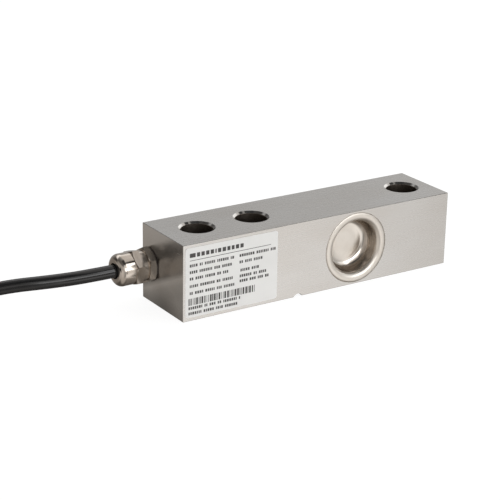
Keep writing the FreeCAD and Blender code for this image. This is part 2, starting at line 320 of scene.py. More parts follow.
def spread(value, low, high, out_low=0, out_high=1):
    """A value's range mapped onto another range."""
    mapped = value.id_data.nodes.new("ShaderNodeMapRange")
    mapped.inputs["From Min"].default_value = low
    mapped.inputs["From Max"].default_value = high
    mapped.inputs["To Min"].default_value = out_low
    mapped.inputs["To Max"].default_value = out_high
    link(value, mapped.inputs["Value"])
    return mapped.outputs["Result"]


def many_tones(value, tones):
    """A colour by a value, through a list of positions and colours."""
    ramp = value.id_data.nodes.new("ShaderNodeValToRGB")
    elements = ramp.color_ramp.elements
    while len(elements) < len(tones):
        elements.new(0.5)
    while len(elements) > len(tones):
        elements.remove(elements[-1])
    for element, (position, colour) in zip(elements, tones):
        element.position = position
        element.color = (*colour, 1)
    link(value, ramp.inputs["Fac"])
    return ramp.outputs["Color"]


def two_tone(value, dark, light, low=0.3, high=0.7):
    """A colour between two tones by a value."""
    return many_tones(value, [(low, dark), (high, light)])


def blend(share, a, b):
    """Between one colour and another, by a share."""
    mix = share.id_data.nodes.new("ShaderNodeMix")
    mix.data_type = "RGBA"
    link(share, mix.inputs["Factor"])
    link(a, mix.inputs["A"])
    link(b, mix.inputs["B"])
    return mix.outputs["Result"]


def add(a, b, share=1.0):
    """One value plus a share of another."""
    return worked_out("ShaderNodeMath", "MULTIPLY_ADD", b, share, a).outputs[0]


def product(a, b):
    """One value times another."""
    return worked_out("ShaderNodeMath", "MULTIPLY", a, b).outputs[0]


def scaled(colour, share):
    """A colour made darker or lighter by a share, or by a share for each of its parts."""
    return worked_out("ShaderNodeVectorMath", "MULTIPLY", colour, share).outputs["Vector"]


def dot(vector, direction):
    """How far a vector goes along a direction."""
    return worked_out("ShaderNodeVectorMath", "DOT_PRODUCT", vector, direction).outputs["Value"]


def length(vector):
    """A vector's length."""
    return worked_out("ShaderNodeVectorMath", "LENGTH", vector).outputs["Value"]


def facing(tree, direction):
    """How far a surface faces one way, from -1 to 1."""
    coordinates = tree.nodes.new("ShaderNodeTexCoord")
    return dot(coordinates.outputs["Normal"], direction)


def coat(shader, colour, rough):
    """Feeds a shader its colour and its roughness."""
    link(colour, shader.inputs["Base Color"])
    link(rough, shader.inputs["Roughness"])


def raise_surface(shader, height, distance, strength):
    """Bump from a height value, over a distance in metres."""
    bump = height.id_data.nodes.new("ShaderNodeBump")
    bump.inputs["Distance"].default_value = distance
    bump.inputs["Strength"].default_value = strength
    link(height, bump.inputs["Height"])
    link(bump.outputs["Normal"], shader.inputs["Normal"])


def axis_distance(tree, centre, axis):
    """Distance from a line along one axis through a centre."""
    keep = [0 if k == axis else 1 for k in range(3)]
    return length(object_point(tree, keep, centre))


def distance_along(tree, direction, centre=(0, 0, 0)):
    """Distance from a centre, measured along one direction."""
    return dot(object_point(tree, (1, 1, 1), centre), direction)


def ring_noise(tree, centre, axis, scale):
    """Noise in rings round a line, as a lathe or a polishing wheel leaves it."""
    texture = tree.nodes.new("ShaderNodeTexNoise")
    texture.noise_dimensions = "1D"
    texture.inputs["Scale"].default_value = scale
    texture.inputs["Detail"].default_value = 3.0
    link(axis_distance(tree, centre, axis), texture.inputs["W"])
    return texture.outputs["Fac"]


def painted_nook_shade(colour, distance, darkest):
    """Painted shade: a colour darkened where the piece's own surfaces stand close together."""
    nook_occlusion = colour.id_data.nodes.new("ShaderNodeAmbientOcclusion")
    nook_occlusion.only_local = True
    nook_occlusion.samples = 8
    nook_occlusion.inputs["Distance"].default_value = distance
    return scaled(colour, spread(nook_occlusion.outputs["AO"], 0.1, 0.9, darkest, 1))


# Materials

# Painted reflection across the beam's end: slanted light and dark bands, as heights in mm from their
# middle line, and tones
reflection_band_middle = Vector((0, 3.3, 15.9)) * MM
reflection_band_slope = Vector((0, 0.475, 1))
reflection_band_reach = 24 * MM
reflection_band_steps = (
    (-21, 0.88),
    (-13, 0.86),
    (-9, 1.0),
    (-6.5, 1.22),
    (-4, 0.72),
    (-1, 0.70),
    (4, 0.68),
    (8.5, 0.72),
    (11.5, 1.3),
    (18, 1.4),
)
# A ramp's colours end at 1, so it holds the tones as shares of a brighter one
brightest_tone = 2
reflection_band_tones = [
    ((at * MM / reflection_band_reach + 1) / 2, (tone / brightest_tone,) * 3) for at, tone in reflection_band_steps
]

# Painted shade at the foot of the beam's end, the edges of its holes and bores, and the reach of
# painted shade in nooks
foot_shade_centre = Vector((0, -1, 0)) * MM
foot_shade_reach = 12 * MM
foot_shade_height = 6 * MM
chamfer_edge = (hole_radius + hole_chamfer + 0.05 * MM, hole_radius + hole_chamfer - 0.05 * MM)
bore_wall_edge = (hole_radius + 0.12 * MM, hole_radius + 0.05 * MM)
nook_shade_reach = 14 * MM


def painted_end_light(colour):
    """A colour with painted light and dark reflection bands on it, and painted shade towards the foot
    of the beam's end.
    """
    tree = colour.id_data
    slanted = distance_along(tree, reflection_band_slope, reflection_band_middle)
    reflection_bands = many_tones(spread(slanted, -reflection_band_reach, reflection_band_reach), reflection_band_tones)
    # Painted shade: darker near the foot of the end and towards its bottom edge
    shade_from_foot = spread(axis_distance(tree, foot_shade_centre, 0), 0, foot_shade_reach, 0.6, 1)
    shade_by_height = spread(distance_along(tree, (0, 0, 1)), 0, foot_shade_height, 0.72, 1)
    end_light_painted = scaled(scaled(colour, product(shade_from_foot, shade_by_height)), reflection_bands)
    return scaled(end_light_painted, (brightest_tone,) * 3)


def ground_steel():
    """Ground steel: fine streaks, painted reflection bands and painted shade on the cable end, a
    painted dark edge line, darker brown bores, bright chamfers and painted shade in nooks.
    """
    material, tree, shader = new_finish("ground_steel", (0.62, 0.61, 0.59), 1.0, 0.28)
    clouds = noise(tree, (22, 55, 55), 3.0)
    on_end = spread(facing(tree, gland_axis), 0.75, 0.85)
    along = noise(tree, (45, 2600, 2600), 3.0)
    across = spread(noise(tree, (45, 45, 2600), 3.0), 0, 1, 0.35, 0.65)
    streaks = blend(on_end, along, across)
    tone = add(clouds, streaks, 0.07)
    colour = two_tone(tone, (0.595, 0.575, 0.55), (0.645, 0.638, 0.625), 0.335, 0.735)
    # Painted reflection and painted shade laid over the beam's end
    colour = blend(on_end, colour, painted_end_light(colour))
    # Painted reflection: a dark line along the rounded edge between the end and the top
    dark_edge_reflection = product(facing(tree, gland_axis), facing(tree, (0, 0, 1)))
    colour = scaled(colour, spread(dark_edge_reflection, 0.2, 0.4, 1, 0.4))
    rough = spread(streaks, 0.3, 0.7, 0.25, 0.285)
    # The bore walls darker and browner than the faces
    bore_wall_tone = two_tone(along, (0.20, 0.17, 0.14), (0.28, 0.24, 0.205))
    for x in hole_stations:
        from_axis = axis_distance(tree, (x, 0, 0), 2)
        chamfered = spread(from_axis, *chamfer_edge)
        bored = spread(from_axis, *bore_wall_edge)
        rough = add(add(rough, chamfered, -0.12), bored, 0.3)
        colour = blend(bored, colour, bore_wall_tone)
    # Painted shade in the nooks and bores
    coat(shader, painted_nook_shade(colour, nook_shade_reach, 0.34), rough)
    raise_surface(shader, streaks, 3e-6, 0.15)
    return material


def drawn_stainless():
    """Drawn sheet: a satin rim, a polished floor and a dull wall between them, painted a darker brown
    for the shade inside the cup.
    """
    material, tree, shader = new_finish("drawn_stainless", (0.74, 0.71, 0.67), 1.0, 0.14)
    white = (1, 1, 1)
    black = (0, 0, 0)
    off_wall_steps = [(0.15, white), (0.25, black), (0.88, black), (0.96, white)]
    rings = ring_noise(tree, (gauge_x, 0, gauge_z), 1, 5200)
    clouds = noise(tree, (120, 120, 120))
    from_middle = length(object_point(tree, (0, 1, 0)))
    depth = spread(from_middle, beam_high.y, beam_high.y - cup_depth)
    on_rim = spread(depth, 0.10, 0.26, 1, 0)
    on_floor = spread(depth, 0.88, 0.96)
    off_wall = many_tones(depth, off_wall_steps)
    rim_tone = two_tone(clouds, (0.74, 0.695, 0.635), (0.80, 0.765, 0.715))
    floor_tone = two_tone(clouds, (0.62, 0.58, 0.53), (0.68, 0.65, 0.61))
    # Painted shade: the cup's wall darker and browner than its rim and floor
    shaded_wall_tone = two_tone(clouds, (0.44, 0.39, 0.34), (0.49, 0.44, 0.39))
    colour = blend(off_wall, shaded_wall_tone, blend(on_floor, rim_tone, floor_tone))
    rough = spread(add(rings, on_floor, -0.8), -0.4, 0.7, 0.14, 0.26)
    coat(shader, colour, add(rough, on_rim, 0.14))
    raise_surface(shader, rings, 2e-6, 0.5)
    return material


def plated_gland():
    """Turned brass under warm nickel plating."""
    material, tree, shader = new_finish("plated_gland", (0.64, 0.60, 0.55), 1.0, 0.2)
    clouds = noise(tree, (260, 260, 260), 3.0)
    lathe = noise(tree, (5200, 60, 60))
    colour = two_tone(clouds, (0.52, 0.465, 0.41), (0.60, 0.55, 0.50))
    coat(shader, colour, spread(add(lathe, clouds, 0.7), 0.5, 1.2, 0.10, 0.18))
    raise_surface(shader, lathe, 2e-6, 0.5)
    return material


def speckled(name, dark, light, grain, rough, metallic, detail=3.0, relief=0):
    """Fine specks in colour and roughness, raised where they have a relief in metres."""
    material, tree, shader = new_finish(name, dark, metallic, rough[0])
    specks = noise(tree, (grain, grain, grain), detail)
    coat(shader, two_tone(specks, dark, light), spread(specks, 0.3, 0.7, *rough))
    if relief:
        raise_surface(shader, specks, relief, 0.3)
    return material


def weld_tint():
    """Laser weld ripples, tinted by their heat."""
    dark = (0.26, 0.22, 0.18)
    light = (0.56, 0.52, 0.47)
    return speckled("weld_tint", dark, light, 900, (0.26, 0.42), 1.0, 2.0)


def printed_ink():
    """Thermal print: dark, a little uneven."""
    dark = (0.02, 0.019, 0.018)
    light = (0.08, 0.075, 0.072)
    return speckled("printed_ink", dark, light, 2600, (0.5, 0.62), 0.0, 2.0)


def moulded(name, dark, light, grain=2200, rough=(0.45, 0.6)):
    """Moulded or rubber surface with a fine grain."""
    return speckled(name, dark, light, grain, rough, 0.0, relief=1.5e-5)


def tinned_copper(name, dark, light):
    """Soft tinned or enamelled wire."""
    return speckled(name, dark, light, 1500, (0.22, 0.4), 1.0)


def jacket(name, dark, light, rough_low, rough_high):
    """Extruded cable jacket: smooth, with a slight mottle and a fine grain."""
    material, tree, shader = new_finish(name, dark, 0.0, rough_low)
    mottle = noise(tree, (420, 420, 420), 3.0)
    grain = noise(tree, (5200, 5200, 5200))
    rough = spread(add(mottle, grain, 0.5), 0.45, 1.05, rough_low, rough_high)
    coat(shader, two_tone(mottle, dark, light), rough)
    raise_surface(shader, add(grain, mottle, 1.5), 1.0e-5, 0.2)
    return material


def label_film():
    """Pale matt film with a very fine tooth."""
    material, tree, shader = new_finish("label_film", (0.69, 0.687, 0.673), 0.0, 0.42)
    clouds = noise(tree, (90, 90, 90), 3.0)
    tooth = noise(tree, (6000, 6000, 6000))
    colour = two_tone(clouds, (0.67, 0.667, 0.653), (0.71, 0.707, 0.693))
    coat(shader, colour, spread(tooth, 0.3, 0.7, 0.38, 0.5))
    raise_surface(shader, tooth, 4e-6, 0.3)
    return material


def woven_strap():
    """Black hook and loop strap: a close weave across and along its run."""
    material, tree, shader = new_finish("woven_strap", (0.02, 0.02, 0.022), 0.0, 0.85)
    weave = noise(tree, (2600, 900, 900))
    fibres = noise(tree, (900, 5200, 5200))
    both = add(weave, fibres, 0.8)
    colour = two_tone(both, (0.010, 0.010, 0.011), (0.045, 0.045, 0.048), 0.6, 1.1)
    link(colour, shader.inputs["Base Color"])
    shader.inputs["Sheen Weight"].default_value = 0.4
    raise_surface(shader, both, 1.6e-4, 0.8)
    return material


# Pieces of the load cell


def beam_block():
    """The plain block, with its edges broken."""
    block = box("ground_beam", beam_middle, beam_size)
    bpy.ops.object.mode_set(mode="EDIT")
    bpy.ops.mesh.select_all(action="SELECT")
    bpy.ops.mesh.bevel(offset=edge_round, segments=3, profile=0.6, affect="EDGES")
    bpy.ops.object.mode_set(mode="OBJECT")
    return block


def beam():
    """The block with its holes, pockets, relief groove and cable way."""
    block = beam_block()
    crosswise = Vector((0, 1, 0))
    top = beam_high.z
    wide = hole_radius + hole_chamfer
    bore = [
        (wide + cut_over, -cut_over),
        (hole_radius, hole_chamfer),
        (hole_radius, top - hole_chamfer),
        (wide + cut_over, top + cut_over),
    ]
    for x in hole_stations:
        cut(block, bore, Vector((0, 0, 1)), Vector((x, 0, 0)), 128)
    half_width = beam_high.y
    seat = half_width - cover_rim + cover_proud
    pocket = [
        (pocket_radius, web_face),
        (pocket_radius, seat),
        (seat_radius, seat),
        (seat_radius, half_width + cut_over),
    ]
    for side in (-1, 1):
        cut(block, pocket, side * crosswise, Vector((gauge_x, 0, gauge_z)), 128)
    groove = [(groove_radius, -cut_over), (groove_radius, beam_size.y + cut_over)]
    groove_start = Vector((groove_x, beam_low.y, groove_depth - groove_radius))
    cut(block, groove, crosswise, groove_start, 64)
    way = [
        (spigot_radius + thread_play, -cut_over),
        (spigot_radius + thread_play, spigot_length),
        (duct_radius, spigot_length),
        (duct_radius, gauge_x - beam_low.x),
    ]
    cut(block, way, -gland_axis, gland_point, 64)
    cross = [(cross_hole_radius, -2 * web_face), (cross_hole_radius, 2 * web_face)]
    cut(block, cross, crosswise, cross_hole, 32)
    return smooth(block)


# The cover's rolled rim: share of its width outwards, and depth in mm from the beam's face
rim_profile = (
    (0.2, -0.198),
    (0.4, -0.19),
    (0.6, -0.16),
    (0.78, -0.10),
    (0.9, -0.02),
    (0.97, 0.09),
    (1.0, 0.25),
)


def gauge_cover(name, side):
    """The drawn cup: slightly dished floor, straight wall, wide rounded mouth and rolled rim."""
    crown = rim_radius - cover_rim
    wall = crown - cover_mouth
    mouth_depth = cover_mouth - cover_proud
    rim_depth = cover_rim - cover_proud
    dish_radius = 40 * MM
    dish_angle = 3.5
    lean = math.radians(dish_angle)
    dish_edge = wall - cup_floor_round
    dish_start = dish_edge - dish_radius * math.sin(lean)
    dish_rise = dish_radius * (1 - math.cos(lean))
    floor_round = (wall - dish_edge) / (1 - math.sin(lean))
    floor_edge = wall - floor_round
    corner = cup_depth - dish_rise - floor_round * math.cos(lean)
    back = floor_round + cover_sheet
    rings = [(0, cup_depth), (dish_start / 2, cup_depth)]
    rings += quarter(dish_start, cup_depth - dish_radius, dish_radius, 90, 90 - dish_angle, 6)
    rings += quarter(floor_edge, corner, floor_round, 90 - dish_angle, 0, 14)[1:]
    rings += quarter(crown, mouth_depth, cover_mouth, 180, 270, 24)
    rings += [(crown + out * cover_rim, depth * MM) for out, depth in rim_profile]
    rings += [(rim_radius, rim_depth)]
    rings += quarter(crown, rim_depth, cover_rim - cover_sheet, 360, 270, 6)
    rings += quarter(crown, mouth_depth, cover_mouth - cover_sheet, 270, 180, 10)[1:]
    rings += quarter(floor_edge, corner, back, 0, 90, 8)
    rings += [(0, cup_depth + cover_sheet)]
    cup = turned(name, rings, 128)
    stand(cup, Vector((0, -side, 0)), Vector((gauge_x, side * beam_high.y, gauge_z)))
    return smooth(cup)


def weld_seam(name, side):
    """A ring of overlapping weld ripples between the cover's rim and the beam."""
    ripples = 132
    radius = (rim_radius + seat_radius) / 2
    size = (0.44 * MM, 0.16 * MM, 0.035 * MM)
    tilt = 0.1
    seam = empty_mesh(name)
    for k in range(ripples):
        angle = math.tau * k / ripples
        middle = Vector((radius * math.cos(angle), radius * math.sin(angle), 0))
        turn = (tilt, 0, angle + math.pi / 2)
        bpy.ops.mesh.primitive_uv_sphere_add(
            segments=10, ring_count=6, radius=1, scale=size, location=middle, rotation=turn
        )
    bpy.ops.object.mode_set(mode="OBJECT")
    stand(seam, Vector((0, side, 0)), Vector((gauge_x, side * beam_high.y, gauge_z)))
    return smooth(seam, 60)


def label_plate():
    """The label's film, with round corners."""
    corner = 1.3 * MM
    size = label_high - label_low
    film = box("label_film", (label_low + label_high) / 2, size)
    bpy.ops.object.mode_set(mode="EDIT")
    bpy.ops.mesh.select_mode(type="EDGE")
    bpy.ops.mesh.select_all(action="DESELECT")
    bpy.ops.object.mode_set(mode="OBJECT")
    for edge in film.data.edges:
        a, b = (film.data.vertices[i].co for i in edge.vertices)
        edge.select = abs(a.y - b.y) > size.y / 2
    bpy.ops.object.mode_set(mode="EDIT")
    bpy.ops.mesh.bevel(offset=corner, segments=10, affect="EDGES")
    bpy.ops.object.mode_set(mode="OBJECT")
    return smooth(film)


# Plain print on the label: a heading of blocks, a rule, rows of small marks and upright bars.
# A row is how far down from the label's top edge, and its start and end from the left edge.
heading_row = (3.2 * MM, 2.0 * MM)
heading_blocks = (2.6, 1.4, 1.5, 1.5, 1.5, 0.6, 1.5, 1.6, 1.4, 1.3, 1.5, 1.5)
heading_gap = 0.6
heading_height = 1.7 * MM
rule_row = (5.3 * MM, 2.0 * MM, 39.4 * MM)
rule_height = 0.22 * MM
mark_rows = [
    (7.4, 2.0, 21.6),
    (10.1, 2.0, 20.6),
    (12.8, 2.0, 19.0),
    (15.9, 2.0, 22.0),
    (18.8, 2.0, 22.4),
    (7.3, 24.7, 41.0),
    (10.0, 24.7, 35.6),
    (13.5, 25.2, 33.6),
    (15.9, 24.9, 38.0),
    (18.0, 24.9, 38.8),
    (25.0, 1.5, 25.4),
    (27.2, 1.5, 23.4),
]
mark_height = 1.15 * MM
mark_widths = (0.45, 0.85)
marks_together = (2, 7)
small_gap = 0.26
large_gap = 1.0
bars_row = (22.4 * MM, 1.4 * MM, 32.0 * MM)
bar_height = 2.9 * MM
bar_widths = (0.25, 0.25, 0.4, 0.55, 0.8)
bar_gaps = (0.25, 0.35, 0.5)
ink = 0.012 * MM


def mark(left, down, wide, high):
    """One block of ink, added to the mesh that is being edited."""
    middle = (label_low.x + left + wide / 2, label_low.y - ink / 2, label_high.z - down)
    bpy.ops.mesh.primitive_cube_add(size=1, location=middle, scale=(wide, ink, high))


def row_of_marks(draw, row):
    """Small marks of different widths, a few together at a time."""
    down, left, end = (value * MM for value in row)
    together = draw.randint(*marks_together)
    while left < end:
        wide = draw.uniform(*mark_widths) * MM
        mark(left, down, wide, mark_height)
        together -= 1
        left += wide + (small_gap if together else large_gap) * MM
        together = together or draw.randint(*marks_together)


def label_print():
    """All of the print as one thin layer of ink on the film."""
    draw = random.Random(7)
    layer = empty_mesh("label_print")
    down, left = heading_row
    for wide in heading_blocks:
        mark(left, down, wide * MM, heading_height)
        left += (wide + heading_gap) * MM
    down, left, end = rule_row
    mark(left, down, end - left, rule_height)
    for row in mark_rows:
        row_of_marks(draw, row)
    down, left, end = bars_row
    while left < end:
        wide = draw.choice(bar_widths) * MM
        mark(left, down, wide, bar_height)
        left += wide + draw.choice(bar_gaps) * MM
    bpy.ops.object.mode_set(mode="OBJECT")
    return layer


def hexagon(name, flats, first, last, turn):
    """A hexagon collar on the gland's axis, its corners turned off at both ends."""
    corner = flats / 2 / math.cos(math.pi / 6)
    slope = hex_chamfer / math.tan(hex_chamfer_angle)
    bar = turned(name, closed([(corner, first), (corner, last)]), 6)
    at = max((vertex.co for vertex in bar.data.vertices), key=lambda co: co.xy.length)
    bar.rotation_euler.z = turn - math.pi / 2 - math.atan2(at.y, at.x)
    settle(bar)
    rings = [
        (corner - slope, first),
        (corner, first + hex_chamfer),
        (corner, last - hex_chamfer),
        (corner - slope, last),
    ]
    return combine(bar, turned("collar", closed(rings), 120), "INTERSECT")


def gland_body():
    """Threaded spigot, hexagon, round neck and nose, bored for the cable and its seal."""
    body = hexagon("gland_body_turned", body_flats, body_station, neck_station, body_turn)
    soft = 0.25 * MM
    rings = [
        (spigot_radius, -spigot_length),
        (spigot_radius, body_station),
        (neck_radius - soft, body_station + hex_chamfer),
        (neck_radius - soft, neck_station),
        *quarter(neck_radius - soft, neck_station + 2 * soft, soft, -90, 0, 4),
        *quarter(neck_radius - soft, nut_station - soft, soft, 0, 90, 4),
        (nose_radius, nut_station),
        (nose_radius, nose_end),
    ]
    combine(body, turned("neck", closed(rings)), "UNION")
    bore = [
        (duct_radius, -spigot_length - cut_over),
        (duct_radius, jacket_station),
        (cable_diameter / 2, jacket_station),
        (cable_diameter / 2, nut_station),
        (seal_radius, nut_station),
        (seal_radius, nose_end + cut_over),
    ]
    combine(body, turned("bore", closed(bore), 64), "DIFFERENCE")
    stand(body, gland_axis, gland_point)
    return smooth(body)


def gland_cap_nut():
    """Hexagon collar, barrel and domed mouth, with its thread bore and its seat for the claw."""
    nut = hexagon("gland_cap_nut_turned", nut_flats, nut_station, barrel_station, nut_turn)
    lip = 0.2 * MM
    rings = [
        (barrel_radius - lip, barrel_station - hex_chamfer),
        (barrel_radius - lip, barrel_station),
        *quarter(barrel_radius - lip, barrel_station + 2 * lip, lip, -90, 0, 4),
        *quarter(barrel_radius - dome_round, nut_end - dome_round, dome_round, 0, 90, 16),
        *quarter(mouth_radius + lip, nut_end - lip, lip, 90, 180, 6),
        (mouth_radius, nut_end - 3 * lip),
    ]
    combine(nut, turned("barrel", closed(rings), 128), "UNION")
    thread = nose_radius + thread_play
    bore = [
        (thread, nut_station - cut_over),
        (thread, nose_end),
        (claw_radius, nose_end),
        (claw_radius, claw_end),
        (mouth_radius, claw_end),
        (mouth_radius, nut_end + cut_over),
    ]
    combine(nut, turned("bore", closed(bore), 128), "DIFFERENCE")
    stand(nut, gland_axis, gland_point)
    return smooth(nut)


def gland_base_ring():
    """The sealing ring under the hexagon, squeezed round at its edge."""
    half = body_station / 2
    rings = [
        (spigot_radius, 0),
        *quarter(base_ring_radius - half, half, half, -90, 90, 8),
        (spigot_radius, body_station),
        (spigot_radius, 0),
    ]
    return smooth(stand(turned("gland_seal_ring", rings), gland_axis, gland_point))


# The cable

fold_step = math.pi / fold_points
fold_reach = 1 / math.cos(fold_step / 2)
run_near_x = hank_near_x - hank_inner * math.tan(fold_step / 2)
run_far_x = hank_far_x + hank_inner * math.tan(fold_step / 2)
step_down = 14 * MM


def straight(side, radius, layer, last_layer):
    """Points of a run along one side of the hank, which may step down a layer on its way."""
    y = hank_middle_y + side * radius
    ends = ((run_near_x, layer), (run_far_x, last_layer))
    if side < 0:
        ends = ((run_far_x, layer), (run_near_x, last_layer))
    if layer != last_layer:
        held = (2 * run_near_x + 3 * run_far_x) / 5
        ends = (ends[0], (held, layer), (held + step_down, last_layer), ends[1])
    return [Vector((x, y, strand_z + cable_diameter * at)) for x, at in ends]


def fold(x, way, radii, layers):
    """Points of a half turn at one end of the hank."""
    points = []
    for k, (radius, layer) in enumerate(zip(radii, layers)):
        angle = (k + 0.5) * fold_step
        out = radius * fold_reach
        y = hank_middle_y - way * out * math.cos(angle)
        points.append(Vector((x + way * out * math.sin(angle), y, strand_z + cable_diameter * layer)))
    return points


def hank_points():
    """The hank's turns: up the outer column, across at the top, and down the inner column."""
    shift = (0.25, 0.9, 1, 1, 1, 1)
    rise = (0, 0, 0.25, 0.75, 1, 1)
    last_turn = 2 * hank_layers - 1
    points = []
    for turn in range(2 * hank_layers):
        going_up = turn < hank_layers
        radius = hank_outer if going_up else hank_inner
        layer = turn if going_up else last_turn - turn
        same_radius = [radius] * fold_points
        same_layer = [layer] * fold_points
        points += straight(1, radius, layer, layer)
        points += fold(hank_far_x, -1, same_radius, same_layer)
        if turn == last_turn:
            break
        lower = layer if going_up else layer - 1
        points += straight(-1, radius, layer, lower)
        if turn < hank_layers - 1:
            points += fold(hank_near_x, 1, same_radius, [layer + up for up in rise])
        elif turn == hank_layers - 1:
            inward = [hank_outer + (hank_inner - hank_outer) * share for share in shift]
            points += fold(hank_near_x, 1, inward, same_layer)
        else:
            points += fold(hank_near_x, 1, same_radius, [lower] * fold_points)
    return points


def round_curve(name, points, diameter, resolution):
    """A round cord along a smooth line that the points control."""
    curve = bpy.data.curves.new(name, "CURVE")
    curve.dimensions = "3D"
    spline = curve.splines.new("NURBS")
    spline.points.add(len(points) - 1)
    for control, point in zip(spline.points, points):
        control.co = (*point, 1)
    spline.order_u = 3
    spline.use_endpoint_u = True
    spline.resolution_u = resolution
    curve.resolution_u = resolution
    curve.bevel_depth = diameter / 2
    curve.bevel_resolution = 7
    curve.use_fill_caps = True
    cord = bpy.data.objects.new(name, curve)
    bpy.context.scene.collection.objects.link(cord)
    return cord


def level(angle):
    """A level direction, turned from +X towards +Y."""
    return Vector((math.cos(angle), math.sin(angle), 0))


def lead_points(index, fan):
    """A flying lead's route out of the jacket, fanned out and down, and its tip's end."""
    along = level(tail_heading)
    across = level(tail_heading + math.pi / 2)
    angle = lead_ring_turn + math.tau * index / len(lead_fans)
    start = tail_route[-1] + (across * math.cos(angle) + Vector((0, 0, math.sin(angle)))) * lead_ring
    bend = start + along * lead_out
    landing = Vector((bend.x, bend.y, lead_diameter / 2))
    tip_end = landing + level(math.radians(fan)) * (lead_run + tip_length)
    jacket_end = tip_end + (bend - tip_end).normalized() * tip_length
    return [start, bend, jacket_end], tip_end


def twisted_tip(start, end):
    """Bare tinned strands, twisted together and tapered off at the end."""
    strands = 7
    strand_relief = 0.1
    steps = 14
    tapered_steps = 2
    taper = 0.8
    twist = math.radians(34)
    bpy.ops.mesh.primitive_circle_add(vertices=4 * strands, radius=tip_radius, fill_type="NGON")
    tip = bpy.context.object
    for vertex in tip.data.vertices:
        angle = math.atan2(vertex.co.y, vertex.co.x)
        vertex.co *= 1 - strand_relief + strand_relief * math.cos(strands * angle)
    run = (end - start).length
    bpy.ops.object.mode_set(mode="EDIT")
    bpy.ops.mesh.select_all(action="SELECT")
    for k in range(steps):
        height = run * (k + 1) / steps
        bpy.ops.mesh.extrude_region_move(TRANSFORM_OT_translate={"value": (0, 0, run / steps)})
        bpy.ops.transform.rotate(value=twist, orient_axis="Z", center_override=(0, 0, height))
        if k >= steps - tapered_steps:
            bpy.ops.transform.resize(value=(taper, taper, 1), center_override=(0, 0, height))
    close_edit()
    return stand(tip, end - start, start)


def lead_tips():
    """The tinned ends of all of the leads, as one piece."""
    tips = []
    for index, fan in enumerate(lead_fans.values()):
        points, tip_end = lead_points(index, fan)
        tips.append(twisted_tip(points[-1], tip_end))
    bpy.ops.object.select_all(action="DESELECT")
    for tip in tips:
        tip.select_set(True)
    bpy.context.view_layer.objects.active = tips[0]
    bpy.ops.object.join()
    tips[0].name = "tinned_tips"
    return smooth(tips[0], 40)


def end_sleeve():
    """Shrunk sleeve over the jacket's end, drawn in at both ends."""
    inside = cable_diameter / 2
    outside = inside + sleeve_wall
    soft = sleeve_wall * 0.8
    rings = [
        (inside, 0),
        *quarter(outside - soft, soft, soft, -90, 0, 6),
        *quarter(outside - soft, sleeve_length - soft, soft, 0, 90, 6),
        (inside, sleeve_length),
        (inside, 0),
    ]
    along = level(tail_heading)
    sleeve = turned("shrink_sleeve", rings)
    return smooth(stand(sleeve, along, tail_route[-1] - along * sleeve_length))


def strap(name, node):
    """A hook and loop strap round one bundle, its free end lapped down the bundle's outer side."""
    low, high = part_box(node)
    size = high - low
    middle = (low + high) / 2
    lap = 17 * MM
    lap_inset = 0.2 * MM
    softening = 0.2 * MM
    start = (low.x, middle.y, middle.z)
    bpy.ops.mesh.primitive_plane_add(size=1, location=start, rotation=(0, math.pi / 2, 0))
    band = bpy.context.object
    band.name = name
    band.scale = (size.z, size.y, 1)
    settle(band)
    bpy.ops.object.mode_set(mode="EDIT")
    bpy.ops.mesh.select_all(action="SELECT")
    bpy.ops.mesh.bevel(offset=cable_diameter / 2 + strap_wall, segments=10, affect="VERTICES")
    bpy.ops.mesh.select_all(action="SELECT")
    bpy.ops.mesh.delete(type="ONLY_FACE")
    bpy.ops.mesh.select_all(action="SELECT")
    bpy.ops.mesh.extrude_region_move(TRANSFORM_OT_translate={"value": (size.x, 0, 0)})
    close_edit()
    wall = band.modifiers.new("wall", "SOLIDIFY")
    wall.thickness = strap_wall
    wall.offset = -1
    bpy.ops.object.modifier_apply(modifier=wall.name)
    outer = high.y if middle.y > hank_middle_y else low.y
    end_low = high.z - cable_diameter - lap
    lap_middle = (middle.x, outer, end_low + lap / 2)
    lap_size = (size.x - 2 * lap_inset, 2 * strap_wall, lap)
    bpy.ops.mesh.primitive_cube_add(size=1, location=lap_middle, scale=lap_size)
    combine(band, bpy.context.object, "UNION")
    soften = band.modifiers.new("soften", "BEVEL")
    soften.width = softening
    soften.segments = 2
    soften.limit_method = "ANGLE"
    bpy.ops.object.modifier_apply(modifier=soften.name)
    return smooth(band, 40)


# Build the pieces

steel = ground_steel()
stainless = drawn_stainless()
nickel = plated_gland()
black_jacket = jacket("black_jacket", (0.011, 0.011, 0.0115), (0.015, 0.015, 0.0155), 0.06, 0.10)
rubber = moulded("seal_rubber", (0.012, 0.011, 0.010), (0.03, 0.028, 0.026))

fit(beam(), steel, "ground_steel", "load_beam")
for side, place in ((-1, "front"), (1, "rear")):
    cover = gauge_cover("drawn_cover_" + place, side)
    fit(cover, stainless, "drawn_stainless", "gauge_cover_" + place)
    fit(weld_seam("weld_seam_" + place, side), weld_tint(), "drawn_stainless")
fit(label_plate(), label_film(), "label", "nameplate_label")
fit(label_print(), printed_ink(), "label")
ring_fibre = moulded("sealing_fibre", (0.045, 0.036, 0.030), (0.085, 0.070, 0.060))
fit(gland_base_ring(), ring_fibre, "seal_rubber", "gland_base_ring")
fit(gland_body(), nickel, "plated_gland", "gland_body")
fit(gland_cap_nut(), nickel, "plated_gland", "gland_cap_nut")

